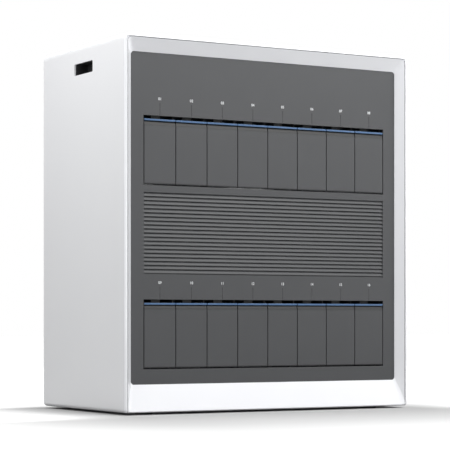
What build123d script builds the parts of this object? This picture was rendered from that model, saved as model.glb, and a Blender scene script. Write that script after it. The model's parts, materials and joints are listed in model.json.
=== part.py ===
from build123d import *
import os

os.makedirs("parts", exist_ok=True)

# Benchtop molecular analyzer: two rows of eight cartridge bays, each behind a door hinged at its foot.
# Millimetres. X to the right, Y to the back, Z up, origin on the bench under the middle of the footprint.

# Cabinet
width = 598.0
depth = 333.0
height = 661.8
foot_height = 4.0
top_radius = 12.0
bottom_radius = 6.0
rear_radius = 6.0
cover_wall = 3.0
bottom_flange = 12.0
seat_gap = 0.3
least_radius = 1.0
overcut = 1.0

# Front bezel: a rounded rim, then faces that slope back to the fascia
rim_radius = 4.5
rim_width = 6.0
rim_bottom = 0.5
bezel_rim_depth = 6.0
bezel_side = 19.5
bezel_top = 29.4
bezel_bottom = 48.4
bezel_recess = 16.3
bezel_lip = 1.0
bezel_wall = 3.0
bezel_corner = 8.0
bezel_back = 22.5
groove_overhang = 0.5
groove_width = 1.1
groove_depth = 3.0

# Fascia
fascia_corner = 6.0
fascia_wall = 4.0
fascia_overlap = 6.0

# Door rows
doors_per_row = 8
door_pitch = 63.3
door_gap = 1.6
upper_row_top = 522.8
lower_row_top = 201.0
row_height = 120.4
finger_slot = 6.0

# Doors
door_wall = 8.0
hinge_setback = 3.2
strip_height = 3.2
strip_wall = 1.2
strip_proud = 0.3
scoop_height = 9.0
scoop_depth = 3.0
door_skin = 3.5
door_frame = 3.0
pocket_sill = 11.0
pocket_head = 15.0
tongue_width = 10.0
tongue_wall = 3.0
tongue_reach = 12.0
tongue_drop = 8.0

# Door hinges
pin_radius = 1.0
pin_clearance = 0.05
pin_inset = 1.0
pin_seat = 0.02
lug_radius = 2.2
lug_width = 4.0
lug_wall = 3.0
lug_spread = 36.0
lug_clearance = 0.5
lug_skin = 0.7

# Status lights over the doors
light_width = 1.2
light_height = 21.0
light_rise = 1.3
light_fit = 0.05

# Air intake between the rows
louvre_top = 387.6
louvre_pitch = 7.07
louvre_blades = 20
louvre_margin = 0.8
louvre_fit = 0.15
blade_wall = 1.8
blade_slope = 3.4
blade_overlap = 0.6
louvre_rail = 3.0
louvre_rail_back = 6.2
louvre_mullions = 3
louvre_flange = 5.0
louvre_flange_wall = 2.0
filter_wall = 8.0
filter_margin = 2.0

# Rack of cartridge bays
shelf_wall = 4.0
roof_wall = 2.0
roof_rise = 2.0
rack_back = 20.0
divider_wall = 1.5
divider_front = 13.0
shelf_front = 13.2
rack_wall = 2.0
rack_side_x = 262.0
rack_side_back = 60.0
rack_top = 540.0

# What each bay holds
bed_width = 46.0
bed_front = 26.0
bed_back = 100.0
bed_wall = 6.0
bed_edge = 4.0
hub_radius = 9.0
hub_height = 2.5
block_width = 52.0
block_height = 92.0
block_wall = 40.0
block_front = 105.0
tube_slot_width = 3.2
tube_slot_height = 30.0
tube_slot_depth = 16.0
tube_slot_rise = 34.0
head_width = 40.0
head_height = 18.0
head_front = 46.0
head_back = 92.0
latch_width = 18.0
latch_wall = 3.0
latch_gap = 2.0
plunger_radius = 5.0
plunger_length = 5.0

# Handle recesses in the sides
handle_length = 75.0
handle_height = 20.6
handle_radius = 3.0
handle_drop = 43.8
handle_y = -3.5
cup_depth = 26.0
cup_wall = 2.0
cup_flange = 5.0

# Base, feet and rear
base_wall = 2.0
foot_radius = 16.0
foot_chamfer = 1.0
foot_inset_x = 60.0
foot_inset_y = 45.0
rear_rim = 9.0
rear_wall = 6.0
rear_recess = 3.5
rear_flange = 18.0
panel_wall = 2.0
panel_fit = 0.3
panel_seam_z = 104.0
panel_seam = 0.6
vent_rows = 2
vent_count = 24
vent_width = 3.0
vent_height = 34.0
vent_pitch = 12.0
vent_low_z = 162.0
vent_high_z = 520.0
screw_radius = 1.5
screw_head_radius = 3.0
screw_head = 1.3
screw_length = 8.0
screw_fit = 0.1
screw_columns = 2
upper_screw_rows = 4
screw_seam_gap = 12.0

# Exhaust fans
fan_size = 120.0
fan_wall = 25.0
fan_bore = 57.0
fan_spread = 270.0
fan_z = 315.0
fan_corner = 6.0
fan_hub = 19.5
fan_hub_wall = 17.0
fan_blades = 7
fan_tip = 55.0
fan_blade_wall = 1.6
fan_blade_root = 3.0
fan_chord = 18.0
fan_hole_spread = 105.0
fan_blade_twist = 35.0
motor_radius = 19.0
motor_wall = 4.0
strut_width = 5.0
shaft_radius = 2.0
shaft_clearance = 0.05
rotor_gap = 0.5
guard_wall = 1.2
guard_ring_first = 16.0
guard_ring_pitch = 12.0
guard_ring_count = 4
guard_wire = 1.6
guard_ear = 4.5
guard_turns = (45, 135)

# Mains inlet with switch, and network jack
inlet_side = 84.0
inlet_z = 62.0
inlet_width = 34.0
inlet_height = 62.0
inlet_face = 1.4
inlet_corner = 3.0
inlet_body_width = 28.0
inlet_body_height = 48.0
inlet_body_depth = 24.0
plug_width = 24.4
plug_height = 16.6
plug_depth = 17.0
plug_drop = 12.0
plug_corner = 2.0
blade_width = 2.0
blade_height = 4.0
blade_reach = 14.0
blade_spread = 14.0
blade_offset = 2.0
switch_width = 13.0
switch_depth = 12.5
switch_rise = 12.0
switch_gap = 0.4
rocker_radius = 10.0
rocker_tilt = 7.0
rocker_pin = 1.2
rocker_face = 5.0
rocker_heel = 3.0
rocker_set = 7.1
jack_side = 179.0
jack_width = 17.0
jack_height = 15.0
jack_depth = 19.0
jack_mouth_width = 12.0
jack_mouth_height = 8.0
jack_mouth_depth = 14.0
jack_face = 1.0
jack_rim = 1.5

# Power supply and controller board
supply_width = 200.0
supply_depth = 95.0
supply_height = 60.0
supply_side = 179.0
supply_y = 95.0
supply_edge = 2.0
board_width = 300.0
board_depth = 110.0
board_wall = 1.6
board_y = -40.0
standoff_height = 8.0
standoff_radius = 3.5
standoff_inset = 8.0
chip_size = 30.0
chip_height = 3.0
chip_count = 3

# Depths, front to back
front_y = -depth / 2
back_y = depth / 2
seam_y = front_y + bezel_rim_depth
fascia_y = front_y + bezel_recess
fascia_back = fascia_y + fascia_wall
bezel_end = front_y + bezel_back
axis_y = fascia_y + hinge_setback
panel_y = back_y - rear_recess
rear_inside = back_y - rear_wall

# Heights and widths that follow
opening_low = foot_height + bezel_bottom
opening_high = height - bezel_top
opening_z = (opening_low + opening_high) / 2
opening_width = width - 2 * bezel_side
opening_height = opening_high - opening_low
row_width = doors_per_row * door_pitch
door_width = door_pitch - door_gap
row_tops = (upper_row_top, lower_row_top)
louvre_height = louvre_blades * louvre_pitch
louvre_z = louvre_top - louvre_height / 2
inside_x = width / 2 - cover_wall
handle_z = height - handle_drop
base_z = foot_height + cover_wall
base_top = base_z + base_wall
screw_frame = rear_rim + rear_flange
screw_low = foot_height + screw_frame / 2
screw_high = height - screw_frame / 2
screw_over_seam = panel_seam_z + screw_seam_gap
screw_rise = (screw_high - screw_over_seam) / (upper_screw_rows - 1)
upper_screws = [screw_over_seam + row * screw_rise for row in range(upper_screw_rows)]
screw_heights = [screw_low, panel_seam_z - screw_seam_gap] + upper_screws
rack_front = fascia_y + divider_front
inlet_x = width / 2 - inlet_side
jack_x = width / 2 - jack_side
supply_x = supply_side - width / 2
middle_z = (height + foot_height) / 2
row_edges = [(index - doors_per_row / 2) * door_pitch for index in range(doors_per_row + 1)]


def facing(y):
    # sketch plane across the cabinet at one depth, local x along X and local y along Z
    return Plane(origin=(0, y, 0), x_dir=(1, 0, 0), z_dir=(0, -1, 0))


def door_centres():
    return [(index - (doors_per_row - 1) / 2) * door_pitch for index in range(doors_per_row)]


def row_floor(row_top):
    # top face of the shelf that carries a row, at the height of the hinge axis and half a lug
    return row_top - row_height + hinge_setback + lug_wall / 2


def cabinet_slice(y0, y1, inset):
    # the cabinet's outline between two depths, smaller all round by inset
    with BuildPart() as piece:
        with BuildSketch(facing(y0)) as section:
            with Locations((0, middle_z)):
                Rectangle(width - 2 * inset, height - foot_height - 2 * inset)
            fillet(section.vertices().group_by(Axis.Y)[-1], max(top_radius - inset, least_radius))
            fillet(section.vertices().group_by(Axis.Y)[0], max(bottom_radius - inset, least_radius))
        extrude(amount=y0 - y1)
    return piece.part


def cabinet_profile(inset):
    # the cabinet seen from the side, with its rear corners rounded, as wide as the cabinet
    with BuildPart() as piece:
        with BuildSketch(Plane.YZ.offset(-width)) as section:
            with Locations((0, middle_z)):
                Rectangle(depth - 2 * inset, height - foot_height - 2 * inset)
            fillet(section.vertices().group_by(Axis.X)[-1], max(rear_radius - inset, least_radius))
        extrude(amount=2 * width)
    return piece.part


def funnel_sketch(plane, share, grow):
    # the bezel's opening, share of the way down the slope, wider all round by grow
    side = rim_width + (bezel_side - rim_width) * share - grow
    top = rim_width + (bezel_top - rim_width) * share - grow
    bottom = rim_bottom + (bezel_bottom - rim_bottom) * share - grow
    radius = bezel_corner + (fascia_corner - bezel_corner) * share
    with BuildSketch(plane) as section:
        with Locations((0, (height - top + foot_height + bottom) / 2)):
            RectangleRounded(width - 2 * side, height - top - foot_height - bottom, radius)
    return section.sketch


def bezel_funnel(grow, overrun):
    # the sloping faces of the bezel's opening as a solid, from overrun before the rim to the lip
    slope_depth = bezel_recess - bezel_lip
    start = -overrun / slope_depth
    with BuildPart() as piece:
        add(funnel_sketch(facing(front_y - overrun), start, grow))
        add(funnel_sketch(facing(front_y + slope_depth), 1, grow))
        loft(ruled=True)
    return piece.part


def groove_block(grow):
    # the block inside one wall of the groove round the rim, from before the front down to its floor
    with BuildPart() as piece:
        add(funnel_sketch(facing(front_y - overcut), 0, grow))
        add(funnel_sketch(facing(front_y + groove_depth), 0, grow))
        loft(ruled=True)
    return piece.part


def opening_slab(y0, y1, margin, radius):
    # the fascia's opening between two depths, wider all round by margin
    with BuildPart() as piece:
        with BuildSketch(facing(y0)):
            with Locations((0, opening_z)):
                RectangleRounded(opening_width + 2 * margin, opening_height + 2 * margin, radius)
        extrude(amount=y0 - y1)
    return piece.part


# Cabinet cover: top, sides, turned-in bottom flanges and a rear frame in one shell
cover_outer = cabinet_slice(seam_y, back_y, 0)
cover_profile = cabinet_profile(0)
cover_cavity = cabinet_slice(seam_y - overcut, rear_inside, cover_wall)
cover_rear_opening = cabinet_slice(rear_inside - overcut, back_y + overcut, rear_flange)
cover_rear_recess = cabinet_slice(panel_y, back_y + overcut, rear_rim)
with BuildPart() as cabinet_cover:
    add(cover_outer)
    add(cover_profile, mode=Mode.INTERSECT)
    add(cover_cavity, mode=Mode.SUBTRACT)
    add(cover_rear_opening, mode=Mode.SUBTRACT)
    add(cover_rear_recess, mode=Mode.SUBTRACT)
    with BuildSketch(facing(seam_y - overcut)):
        with Locations((0, foot_height)):
            Rectangle(width - 2 * bottom_flange, 2 * (cover_wall + overcut))
    extrude(amount=seam_y - overcut - rear_inside, mode=Mode.SUBTRACT)
    with BuildSketch(Plane.YZ.offset(-width)):
        with Locations((handle_y, handle_z)):
            RectangleRounded(handle_length, handle_height, handle_radius)
    extrude(amount=2 * width, mode=Mode.SUBTRACT)
    with BuildSketch(facing(rear_inside - overcut)):
        with Locations([(0, z) for z in screw_heights]):
            with GridLocations(width - screw_frame, 1, screw_columns, 1):
                Circle(screw_radius + screw_fit)
    extrude(amount=-(rear_wall + 2 * overcut), mode=Mode.SUBTRACT)
cabinet_cover.part.label = "cabinet_cover"
export_step(cabinet_cover.part, "parts/cabinet_cover.step")

# Front bezel: rounded rim, fine groove, four mitred slopes, hollow behind, and a seat for the fascia
bezel_spigot = cabinet_slice(seam_y, bezel_end, cover_wall + seat_gap)
bezel_opening = bezel_funnel(0, bezel_lip)
bezel_back_of_slope = bezel_funnel(bezel_wall, 0)
bezel_lip_opening = opening_slab(fascia_y - bezel_lip, bezel_end + overcut, 0, fascia_corner)
bezel_seat = opening_slab(fascia_y, bezel_end + overcut, fascia_overlap + seat_gap, fascia_corner)
bezel_seat_wall = opening_slab(
    front_y, bezel_end + 2 * overcut, fascia_overlap + seat_gap + bezel_wall, fascia_corner + bezel_wall
)
bezel_hollow_block = cabinet_slice(seam_y, bezel_end + overcut, 2 * cover_wall + seat_gap)
with BuildPart() as bezel_hollow:
    add(bezel_hollow_block)
    add(bezel_back_of_slope, mode=Mode.SUBTRACT)
    add(bezel_seat_wall, mode=Mode.SUBTRACT)
bezel_rim = cabinet_slice(front_y, seam_y, 0)
groove_outer = groove_block(groove_width - groove_overhang)
groove_inner = groove_block(-groove_overhang)
with BuildPart() as groove:
    add(groove_outer)
    add(groove_inner, mode=Mode.SUBTRACT)
    with BuildSketch(facing(front_y - 2 * overcut)):
        Rectangle(width, 2 * (foot_height + bezel_corner))
    extrude(amount=-(groove_depth + 3 * overcut), mode=Mode.SUBTRACT)
with BuildPart() as front_bezel:
    add(bezel_rim)
    fillet(front_bezel.faces().sort_by(Axis.Y)[0].edges(), rim_radius)
    add(groove.part, mode=Mode.SUBTRACT)
    add(bezel_spigot)
    add(bezel_opening, mode=Mode.SUBTRACT)
    add(bezel_lip_opening, mode=Mode.SUBTRACT)
    add(bezel_seat, mode=Mode.SUBTRACT)
    add(bezel_hollow.part, mode=Mode.SUBTRACT)
front_bezel.part.label = "front_bezel"
export_step(front_bezel.part, "parts/front_bezel.step")

# Fascia with a window for each door row, one for the air intake, and the slots of the status lights
with BuildPart() as fascia:
    with BuildSketch(facing(fascia_y)):
        with Locations((0, opening_z)):
            RectangleRounded(
                opening_width + 2 * fascia_overlap, opening_height + 2 * fascia_overlap, fascia_corner
            )
        for row_top in row_tops:
            with Locations((0, row_top - (row_height + door_gap) / 2)):
                Rectangle(row_width + door_gap, row_height + door_gap, mode=Mode.SUBTRACT)
        with Locations((0, louvre_z)):
            Rectangle(row_width, louvre_height + 2 * louvre_margin, mode=Mode.SUBTRACT)
        for row_top in row_tops:
            with Locations([(x, row_top + light_rise + light_height / 2) for x in door_centres()]):
                Rectangle(light_width, light_height, mode=Mode.SUBTRACT)
    extrude(amount=-fascia_wall)
fascia.part.label = "fascia"
export_step(fascia.part, "parts/fascia.step")

with BuildPart() as status_lights:
    with BuildSketch(facing(fascia_y)):
        for row_top in row_tops:
            with Locations([(x, row_top + light_rise + light_height / 2) for x in door_centres()]):
                Rectangle(light_width - 2 * light_fit, light_height - 2 * light_fit)
    extrude(amount=-fascia_wall)
status_lights.part.label = "status_lights"
export_step(status_lights.part, "parts/status_lights.step")


# Air intake: slanted blades, each with its top behind the drip edge of the blade over it
def blade_section(top):
    foot = top - louvre_pitch + louvre_margin
    head = top + blade_overlap
    with BuildLine() as outline:
        Polyline(
            (fascia_y, foot),
            (fascia_y + blade_wall, foot),
            (fascia_y + blade_slope + blade_wall, head),
            (fascia_y + blade_slope, head),
            close=True,
        )
    return outline.line


blade_length = row_width - 2 * louvre_fit
blade_outlines = [blade_section(louvre_top - blade * louvre_pitch) for blade in range(louvre_blades)]
with BuildPart() as intake_louvre:
    with BuildSketch(Plane.YZ.offset(-blade_length / 2)):
        for outline in blade_outlines:
            make_face(outline)
    extrude(amount=blade_length)
    with BuildSketch(facing(fascia_y + blade_slope)):
        with Locations((0, louvre_z)):
            with GridLocations(
                (blade_length - louvre_rail) / (louvre_mullions + 1), 1, louvre_mullions + 2, 1
            ):
                Rectangle(louvre_rail, louvre_height + 2 * (louvre_margin - louvre_fit))
    extrude(amount=blade_slope - louvre_rail_back)
    with BuildSketch(facing(fascia_back)):
        with Locations((0, louvre_z)):
            Rectangle(row_width + 2 * louvre_flange, louvre_height + 2 * louvre_flange)
            Rectangle(
                blade_length - 2 * louvre_rail,
                louvre_height - 2 * louvre_rail,
                mode=Mode.SUBTRACT,
            )
    extrude(amount=-louvre_flange_wall)
intake_louvre.part.label = "intake_louvre"
export_step(intake_louvre.part, "parts/intake_louvre.step")

filter_y = fascia_back + max(louvre_flange_wall, louvre_rail_back - fascia_wall)
with BuildPart() as air_filter:
    with BuildSketch(facing(filter_y)):
        with Locations((0, louvre_z)):
            Rectangle(row_width - 2 * filter_margin, louvre_height - 2 * filter_margin)
    extrude(amount=-filter_wall)
air_filter.part.label = "air_filter"
export_step(air_filter.part, "parts/air_filter.step")


# Doors: a hollow panel with a hinge barrel along its foot, a finger scoop and a latch tongue at its head
def door_outline(row_top):
    top = row_top - finger_slot
    axis_z = row_top - row_height + hinge_setback
    back = fascia_y + door_wall
    lip = fascia_y + strip_wall
    scoop_top = top - strip_height
    with BuildLine() as outline:
        Line((fascia_y, axis_z), (fascia_y, scoop_top - scoop_height))
        TangentArc(
            (fascia_y, scoop_top - scoop_height), (fascia_y + scoop_depth, scoop_top), tangent=(0, 1)
        )
        Polyline(
            (fascia_y + scoop_depth, scoop_top),
            (lip, scoop_top),
            (lip, top),
            (back, top),
            (back, axis_z),
            (fascia_y, axis_z),
        )
    return outline.line


def tongue_outline(row_top):
    top = row_top - finger_slot - tongue_drop
    back = fascia_y + door_wall
    with BuildLine() as outline:
        Polyline(
            (back - overcut, top),
            (back + tongue_reach - tongue_wall, top),
            (back + tongue_reach, top - tongue_wall / 2),
            (back + tongue_reach - tongue_wall, top - tongue_wall),
            (back - overcut, top - tongue_wall),
            close=True,
        )
    return outline.line


def make_door(x, row_top):
    axis_z = row_top - row_height + hinge_setback
    top = row_top - finger_slot
    left = x - door_width / 2
    pocket_low = row_top - row_height + pocket_sill
    pocket_high = top - pocket_head
    notch_radius = hinge_setback - lug_skin
    notch_reach = lug_wall / 2 + lug_clearance
    panel_outline = door_outline(row_top)
    latch_tongue = tongue_outline(row_top)
    with BuildPart() as door:
        with BuildSketch(Plane.YZ.offset(left)):
            make_face(panel_outline)
            with Locations((axis_y, axis_z)):
                Circle(hinge_setback)
        extrude(amount=door_width)
        with BuildSketch(facing(fascia_y + door_skin)):
            with Locations((x, (pocket_low + pocket_high) / 2)):
                RectangleRounded(door_width - 2 * door_frame, pocket_high - pocket_low, door_frame)
        extrude(amount=-door_wall, mode=Mode.SUBTRACT)
        with BuildSketch(Plane.YZ.offset(x - tongue_width / 2)):
            make_face(latch_tongue)
        extrude(amount=tongue_width)
        for side in (-1, 1):
            notch_x = x + side * lug_spread / 2 - lug_width / 2 - lug_clearance
            with BuildSketch(Plane.YZ.offset(notch_x)):
                with Locations((axis_y, axis_z)):
                    Circle(notch_radius)
                with Locations((axis_y - notch_reach, axis_z + notch_reach)):
                    Rectangle(2 * door_wall, 2 * door_wall, align=(Align.MIN, Align.MAX))
            extrude(amount=lug_width + 2 * lug_clearance, mode=Mode.SUBTRACT)
        with BuildSketch(Plane.YZ.offset(left)):
            with Locations((axis_y, axis_z)):
                Circle(pin_radius + pin_clearance)
        extrude(amount=door_width, mode=Mode.SUBTRACT)
    return door.part


def make_strip(x, row_top):
    top = row_top - finger_slot
    with BuildPart() as strip:
        with BuildSketch(facing(fascia_y - strip_proud)):
            with Locations((x, top - strip_height / 2)):
                Rectangle(door_width, strip_height)
        extrude(amount=-(strip_wall + strip_proud))
        fillet(strip.faces().sort_by(Axis.Y)[0].edges().filter_by(Axis.X), strip_proud)
    return strip.part


door_number = 0
for row_top in row_tops:
    for x in door_centres():
        door_number += 1
        door = make_door(x, row_top)
        door.label = f"door_{door_number:02d}"
        export_step(door, f"parts/door_{door_number:02d}.step")
        strip = make_strip(x, row_top)
        strip.label = f"pull_strip_{door_number:02d}"
        export_step(strip, f"parts/pull_strip_{door_number:02d}.step")

with BuildPart() as door_hinge_pins:
    for row_top in row_tops:
        for x in door_centres():
            with BuildSketch(Plane.YZ.offset(x - door_width / 2 + pin_inset)):
                with Locations((axis_y, row_top - row_height + hinge_setback)):
                    Circle(pin_radius)
            extrude(amount=door_width - 2 * pin_inset)
door_hinge_pins.part.label = "door_hinge_pins"
export_step(door_hinge_pins.part, "parts/door_hinge_pins.step")

# Shelves under the bays, with two hinge lugs for each door along the front edge
shelf_width = 2 * rack_side_x
with BuildPart() as bay_floors:
    for row_top in row_tops:
        floor_z = row_floor(row_top)
        shelf_y = fascia_y + shelf_front
        with BuildSketch(Plane.XY.offset(floor_z - shelf_wall)):
            with Locations((0, shelf_y)):
                Rectangle(shelf_width, rack_back - shelf_y, align=(Align.CENTER, Align.MIN))
        extrude(amount=shelf_wall)
        axis_z = row_top - row_height + hinge_setback
        for x in door_centres():
            for side in (-1, 1):
                with BuildSketch(Plane.YZ.offset(x + side * lug_spread / 2 - lug_width / 2)):
                    with Locations((axis_y, axis_z)):
                        Circle(lug_radius)
                        Rectangle(shelf_y - axis_y, lug_wall, align=(Align.MIN, Align.CENTER))
                        Circle(pin_radius + pin_seat, mode=Mode.SUBTRACT)
                extrude(amount=lug_width)
bay_floors.part.label = "bay_floors"
export_step(bay_floors.part, "parts/bay_floors.step")

with BuildPart() as bay_dividers:
    for row_top in row_tops:
        floor_z = row_floor(row_top)
        with BuildSketch(Plane.XY.offset(floor_z)):
            with Locations([(x, rack_front) for x in row_edges]):
                Rectangle(divider_wall, rack_back - rack_front, align=(Align.CENTER, Align.MIN))
        extrude(amount=row_top + roof_rise - floor_z)
bay_dividers.part.label = "bay_dividers"
export_step(bay_dividers.part, "parts/bay_dividers.step")

# Rack frame: a roof over each row and two side plates that stand on the base pan
with BuildPart() as rack_frame:
    for row_top in row_tops:
        with BuildSketch(Plane.XY.offset(row_top + roof_rise)):
            with Locations((0, fascia_back)):
                Rectangle(shelf_width, rack_back - fascia_back, align=(Align.CENTER, Align.MIN))
        extrude(amount=roof_wall)
    for side in (-1, 1):
        with BuildSketch(Plane.XY.offset(base_top)):
            with Locations((side * (rack_side_x + rack_wall / 2), rack_front)):
                Rectangle(rack_wall, rack_side_back - rack_front, align=(Align.CENTER, Align.MIN))
        extrude(amount=rack_top - base_top)
rack_frame.part.label = "rack_frame"
export_step(rack_frame.part, "parts/rack_frame.step")

# In each bay: the bed with its valve hub, the thermal and optics block, and the plunger drive
with BuildPart() as cartridge_beds:
    for row_top in row_tops:
        floor_z = row_floor(row_top)
        for x in door_centres():
            with BuildSketch(Plane.XY.offset(floor_z)):
                with Locations((x, fascia_y + (bed_front + bed_back) / 2)):
                    RectangleRounded(bed_width, bed_back - bed_front, bed_edge)
            extrude(amount=bed_wall)
            with BuildSketch(Plane.XY.offset(floor_z + bed_wall)):
                with Locations((x, fascia_y + (bed_front + bed_back) / 2)):
                    Circle(hub_radius)
            extrude(amount=hub_height)
cartridge_beds.part.label = "cartridge_beds"
export_step(cartridge_beds.part, "parts/cartridge_beds.step")

with BuildPart() as thermal_blocks:
    for row_top in row_tops:
        floor_z = row_floor(row_top)
        block_y = fascia_y + block_front
        for x in door_centres():
            with BuildSketch(Plane.XY.offset(floor_z)):
                with Locations((x, block_y)):
                    Rectangle(block_width, block_wall, align=(Align.CENTER, Align.MIN))
            extrude(amount=block_height)
            with BuildSketch(facing(block_y - overcut)):
                with Locations((x, floor_z + tube_slot_rise)):
                    Rectangle(tube_slot_width, tube_slot_height)
            extrude(amount=-(tube_slot_depth + overcut), mode=Mode.SUBTRACT)
thermal_blocks.part.label = "thermal_blocks"
export_step(thermal_blocks.part, "parts/thermal_blocks.step")


def latch_outline(row_top):
    # the latch housing over a door's tongue, open to the front, and the drive body behind it
    roof = row_top + roof_rise
    tongue_z = row_top - finger_slot - tongue_drop - tongue_wall / 2
    mouth = tongue_wall / 2 + latch_gap
    latch_y = fascia_y + door_wall + tongue_reach - tongue_wall
    pocket_y = fascia_y + door_wall + tongue_reach + latch_gap
    with BuildLine() as outline:
        Polyline(
            (latch_y, roof),
            (latch_y, tongue_z + mouth),
            (pocket_y, tongue_z + mouth),
            (pocket_y, tongue_z - mouth),
            (latch_y, tongue_z - mouth),
            (latch_y, tongue_z - mouth - latch_wall),
            (pocket_y + latch_wall, tongue_z - mouth - latch_wall),
            (pocket_y + latch_wall, roof - head_height),
            (fascia_y + head_front, roof - head_height),
            (fascia_y + head_front, roof),
            close=True,
        )
    return outline.line


latch_outlines = [latch_outline(row_top) for row_top in row_tops]
with BuildPart() as drive_heads:
    for row_top, outline in zip(row_tops, latch_outlines):
        roof = row_top + roof_rise
        head_y = fascia_y + (head_front + head_back) / 2
        for x in door_centres():
            with BuildSketch(Plane.YZ.offset(x - latch_width / 2)):
                make_face(outline)
            extrude(amount=latch_width)
            with BuildSketch(Plane.XY.offset(roof - head_height)):
                with Locations((x, head_y)):
                    Rectangle(head_width, head_back - head_front)
            extrude(amount=head_height)
            with BuildSketch(Plane.XY.offset(roof - head_height - plunger_length)):
                with Locations((x, head_y)):
                    Circle(plunger_radius)
            extrude(amount=plunger_length)
drive_heads.part.label = "drive_heads"
export_step(drive_heads.part, "parts/drive_heads.step")


# Handle cups behind the slots in the cover's sides
def make_cup(side):
    wall_x = side * inside_x
    with BuildPart() as cup:
        with BuildSketch(Plane.YZ.offset(wall_x)):
            with Locations((handle_y, handle_z)):
                RectangleRounded(
                    handle_length + 2 * cup_flange, handle_height + 2 * cup_flange, handle_radius
                )
        extrude(amount=-side * cup_wall)
        with BuildSketch(Plane.YZ.offset(wall_x)):
            with Locations((handle_y, handle_z)):
                RectangleRounded(
                    handle_length + 2 * cup_wall, handle_height + 2 * cup_wall, handle_radius + cup_wall
                )
        extrude(amount=-side * cup_depth)
        with BuildSketch(Plane.YZ.offset(wall_x)):
            with Locations((handle_y, handle_z)):
                RectangleRounded(handle_length, handle_height, handle_radius)
        extrude(amount=-side * (cup_depth - cup_wall), mode=Mode.SUBTRACT)
    return cup.part


cup_left = make_cup(-1)
cup_right = make_cup(1)
with BuildPart() as handle_cups:
    add(cup_left)
    add(cup_right)
handle_cups.part.label = "handle_cups"
export_step(handle_cups.part, "parts/handle_cups.step")

# Base pan on the cover's turned-in flanges, and the feet under it
with BuildPart() as base_pan:
    with BuildSketch(Plane.XY.offset(base_z)):
        with Locations((0, (bezel_end + rear_inside) / 2)):
            Rectangle(2 * (inside_x - cover_wall), rear_inside - bezel_end - 2 * seat_gap)
    extrude(amount=base_wall)
base_pan.part.label = "base_pan"
export_step(base_pan.part, "parts/base_pan.step")

with BuildPart() as feet:
    with BuildSketch(Plane.XY):
        with GridLocations(width - 2 * foot_inset_x, depth - 2 * foot_inset_y, 2, 2):
            Circle(foot_radius)
    extrude(amount=base_z)
    chamfer(feet.faces().group_by(Axis.Z)[0].edges(), foot_chamfer)
feet.part.label = "feet"
export_step(feet.part, "parts/feet.step")

# Rear panel with fan openings and vent slots, over a connector panel, both in the cover's rear recess
panel_slab = cabinet_slice(panel_y, panel_y + panel_wall, rear_rim + panel_fit)
with BuildPart() as rear_panel:
    add(panel_slab)
    with BuildSketch(facing(panel_y - overcut)):
        with Locations((0, panel_seam_z + panel_seam / 2)):
            Rectangle(2 * width, 2 * height, align=(Align.CENTER, Align.MAX))
        with Locations((0, fan_z)):
            with GridLocations(fan_spread, 1, 2, 1):
                Circle(fan_bore)
        for vent_z in (vent_low_z, vent_high_z):
            with Locations((0, vent_z)):
                with GridLocations(vent_pitch, vent_height + vent_pitch, vent_count, vent_rows):
                    Rectangle(vent_width, vent_height)
        with Locations([(0, z) for z in upper_screws]):
            with GridLocations(width - screw_frame, 1, screw_columns, 1):
                Circle(screw_radius + screw_fit)
    extrude(amount=-(panel_wall + 2 * overcut), mode=Mode.SUBTRACT)
rear_panel.part.label = "rear_panel"
export_step(rear_panel.part, "parts/rear_panel.step")

with BuildPart() as connector_panel:
    add(panel_slab)
    with BuildSketch(facing(panel_y - overcut)):
        with Locations((0, panel_seam_z - panel_seam / 2)):
            Rectangle(2 * width, 2 * height, align=(Align.CENTER, Align.MIN))
        with Locations((inlet_x, inlet_z)):
            Rectangle(inlet_body_width + 2 * panel_fit, inlet_body_height + 2 * panel_fit)
        with Locations((jack_x, inlet_z)):
            Rectangle(jack_width + 2 * panel_fit, jack_height + 2 * panel_fit)
        with Locations((0, screw_low), (0, panel_seam_z - screw_seam_gap)):
            with GridLocations(width - screw_frame, 1, screw_columns, 1):
                Circle(screw_radius + screw_fit)
    extrude(amount=-(panel_wall + 2 * overcut), mode=Mode.SUBTRACT)
connector_panel.part.label = "connector_panel"
export_step(connector_panel.part, "parts/connector_panel.step")

with BuildPart() as rear_screws:
    with BuildSketch(facing(panel_y + panel_wall)):
        with Locations([(0, z) for z in screw_heights]):
            with GridLocations(width - screw_frame, 1, screw_columns, 1):
                Circle(screw_head_radius)
    extrude(amount=-screw_head)
    with BuildSketch(facing(panel_y + panel_wall)):
        with Locations([(0, z) for z in screw_heights]):
            with GridLocations(width - screw_frame, 1, screw_columns, 1):
                Circle(screw_radius)
    extrude(amount=screw_length)
rear_screws.part.label = "rear_screws"
export_step(rear_screws.part, "parts/rear_screws.step")

# Exhaust fans: frame with motor base and stub shaft, rotor, and a wire guard outside the panel
fan_front = panel_y - fan_wall
fan_centres = (-fan_spread / 2, fan_spread / 2)
with BuildPart() as fan_frames:
    for x in fan_centres:
        with BuildSketch(facing(fan_front)):
            with Locations((x, fan_z)):
                RectangleRounded(fan_size, fan_size, fan_corner)
                Circle(fan_bore, mode=Mode.SUBTRACT)
        extrude(amount=-fan_wall)
        with BuildSketch(facing(fan_front)):
            with Locations((x, fan_z)):
                Circle(motor_radius)
                Rectangle(2 * (fan_bore + overcut), strut_width)
                Rectangle(strut_width, 2 * (fan_bore + overcut))
        extrude(amount=-motor_wall)
        with BuildSketch(facing(fan_front)):
            with Locations((x, fan_z)):
                Circle(shaft_radius)
        extrude(amount=-(motor_wall + rotor_gap + fan_hub_wall))
fan_frames.part.label = "fan_frames"
export_step(fan_frames.part, "parts/fan_frames.step")


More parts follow.
